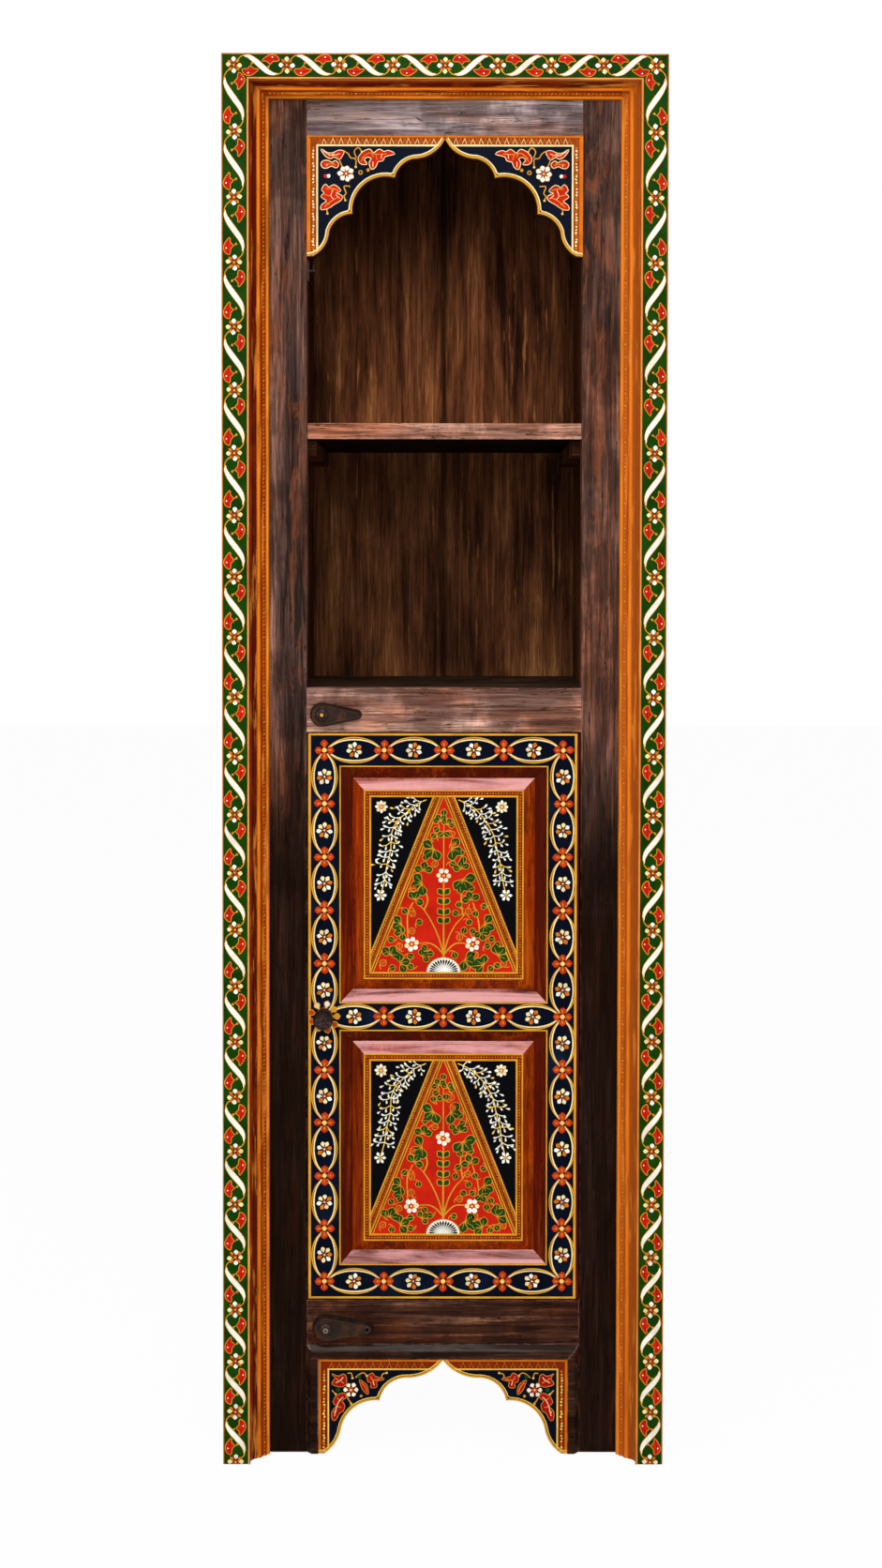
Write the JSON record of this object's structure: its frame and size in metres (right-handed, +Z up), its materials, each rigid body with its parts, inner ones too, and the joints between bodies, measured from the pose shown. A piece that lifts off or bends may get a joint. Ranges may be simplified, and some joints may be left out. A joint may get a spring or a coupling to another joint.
{
  "type": "tall painted cabinet",
  "caption": "Tall narrow painted cabinet: open niche under a cusped arch with a shelf, panelled door below held by iron turn buttons, arched apron, wide floral surround.",
  "frame": {"origin": "on the floor under the middle of the whole cabinet", "axes": "+Z up along the height, front towards -Y, +X to the right seen from the front"},
  "size_m": [0.565, 0.345, 1.8],
  "materials": {
    "green_paint": "hand-painted green with flowers, soft gloss",
    "orange_paint": "orange and red-brown painted steps, soft gloss",
    "dark_frame_wood": "dark stained and worn",
    "navy_paint": "blue-black paint with flowers, soft gloss",
    "painted_panel": "red and black paint over brown wood",
    "shelf_wood": "brown stained, worn front edge",
    "carcass_wood": "dark brown stained boards",
    "dark_iron": "blackened and rubbed bright on the edges"
  },
  "bodies": {
    "cabinet": {"apron_frame_left": "dark_frame_wood", "apron_frame_right": "dark_frame_wood", "apron_frame_top": "dark_frame_wood", "apron_spandrel_left": "navy_paint", "apron_spandrel_right": "navy_paint", "architrave_board_left": "green_paint", "architrave_board_right": "green_paint", "architrave_board_top": "green_paint", "architrave_moulding_left": "orange_paint", "architrave_moulding_right": "orange_paint", "architrave_moulding_top": "orange_paint", "back_board_left": "carcass_wood", "back_board_right": "carcass_wood", "button_bolt_lower": "dark_iron", "button_bolt_upper": "dark_iron", "button_washer_lower": "dark_iron", "button_washer_upper": "dark_iron", "cupboard_floor": "carcass_wood", "cupboard_floor_cleat_left": "carcass_wood", "cupboard_floor_cleat_right": "carcass_wood", "cupboard_shelf": "carcass_wood", "cupboard_shelf_cleat_left": "carcass_wood", "cupboard_shelf_cleat_right": "carcass_wood", "niche_floor": "shelf_wood", "niche_floor_cleat_left": "carcass_wood", "niche_floor_cleat_right": "carcass_wood", "niche_shelf": "shelf_wood", "niche_shelf_cleat_left": "carcass_wood", "niche_shelf_cleat_right": "carcass_wood", "niche_spandrel_left": "navy_paint", "niche_spandrel_right": "navy_paint", "pivot_socket_lower": "dark_iron", "pivot_socket_upper": "dark_iron", "rail_bottom": "dark_frame_wood", "rail_middle": "dark_frame_wood", "rail_top": "dark_frame_wood", "side_panel_left": "carcass_wood", "side_panel_right": "carcass_wood", "stile_hook": "dark_iron", "stile_left": "dark_frame_wood", "stile_right": "dark_frame_wood", "top_board": "carcass_wood"},
    "door": {"door_knob": "dark_iron", "door_panel_lower": "painted_panel", "door_panel_upper": "painted_panel", "door_rail_bottom": "navy_paint", "door_rail_middle": "navy_paint", "door_rail_top": "navy_paint", "door_stile_left": "navy_paint", "door_stile_right": "navy_paint", "knob_nut": "dark_iron", "knob_rose": "dark_iron", "pivot_pin_lower": "dark_iron", "pivot_pin_upper": "dark_iron"},
    "turn_button_upper": {"turn_button_upper": "dark_iron"},
    "turn_button_lower": {"turn_button_lower": "dark_iron"}
  },
  "joints": [
    {"name": "door_swing", "type": "hinge", "parent": "cabinet", "child": "door", "pos_m": [0.1495, -0.1285, 0.5705], "axis": [0, 0, 1], "range_deg": [0, 120]},
    {"name": "upper_button_turn", "type": "hinge", "parent": "cabinet", "child": "turn_button_upper", "pos_m": [-0.157, -0.1425, 0.963], "axis": [0, 1, 0], "continuous": true},
    {"name": "lower_button_turn", "type": "hinge", "parent": "cabinet", "child": "turn_button_lower", "pos_m": [-0.152, -0.1425, 0.165], "axis": [0, -1, 0], "range_deg": [0, 180]}
  ]
}
